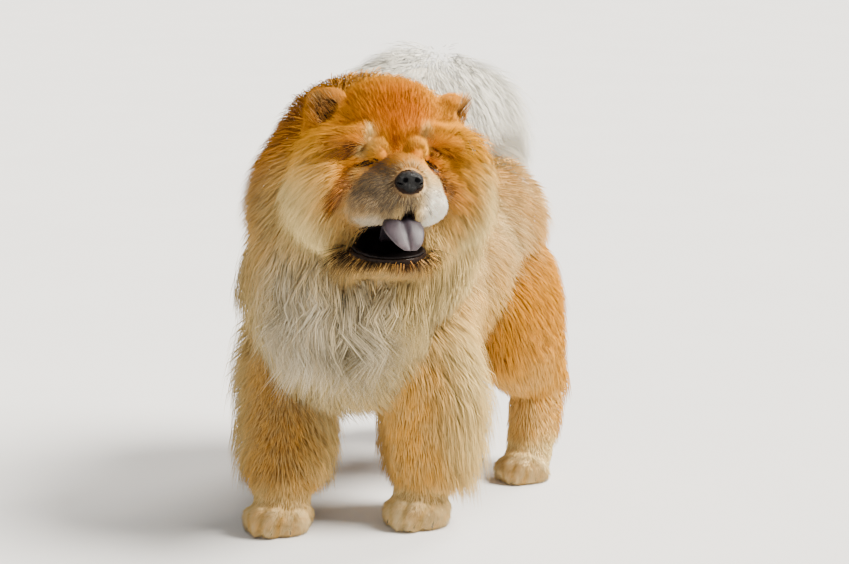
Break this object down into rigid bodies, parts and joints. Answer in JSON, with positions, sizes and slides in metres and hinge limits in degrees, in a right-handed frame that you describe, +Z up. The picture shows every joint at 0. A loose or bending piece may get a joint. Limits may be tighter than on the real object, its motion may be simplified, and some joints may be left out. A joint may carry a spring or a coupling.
{
  "type": "chow chow",
  "caption": "Standing chow chow, a life-size still model with a deep ruff, tail curled over the back, head turned and mouth open.",
  "frame": {"origin": "on the floor, below the centre of the bounding box", "axes": "the dog's body points to -Y, its left side is +X, +Z is up"},
  "size_m": [0.4707, 0.8424, 0.7015],
  "materials": {
    "head_coat": "red-gold fur, short on the muzzle and plush on crown and cheeks",
    "ruff_coat": "long cream and golden fur",
    "body_coat": "dense stand-off golden cream fur",
    "tail_coat": "long white fur",
    "leg_coat": "golden red fur with paler feathering",
    "paw_coat": "short sand coloured fur",
    "nose_leather": "moist black skin",
    "lip_leather": "moist black skin",
    "tongue_flesh": "moist blue-grey flesh",
    "eye": "wet dark brown eye"
  },
  "bodies": {
    "root": {"head": "head_coat", "eye_left": "eye", "eye_right": "eye", "nose": "nose_leather", "ear_left": "head_coat", "ear_right": "head_coat", "mouth": "lip_leather", "tongue": "tongue_flesh", "neck_ruff": "ruff_coat", "torso": "body_coat", "tail": "tail_coat", "foreleg_left": "leg_coat", "foreleg_right": "leg_coat", "hindleg_left": "leg_coat", "hindleg_right": "leg_coat", "forepaw_left": "paw_coat", "forepaw_right": "paw_coat", "hindpaw_left": "paw_coat", "hindpaw_right": "paw_coat"}
  },
  "joints": []
}
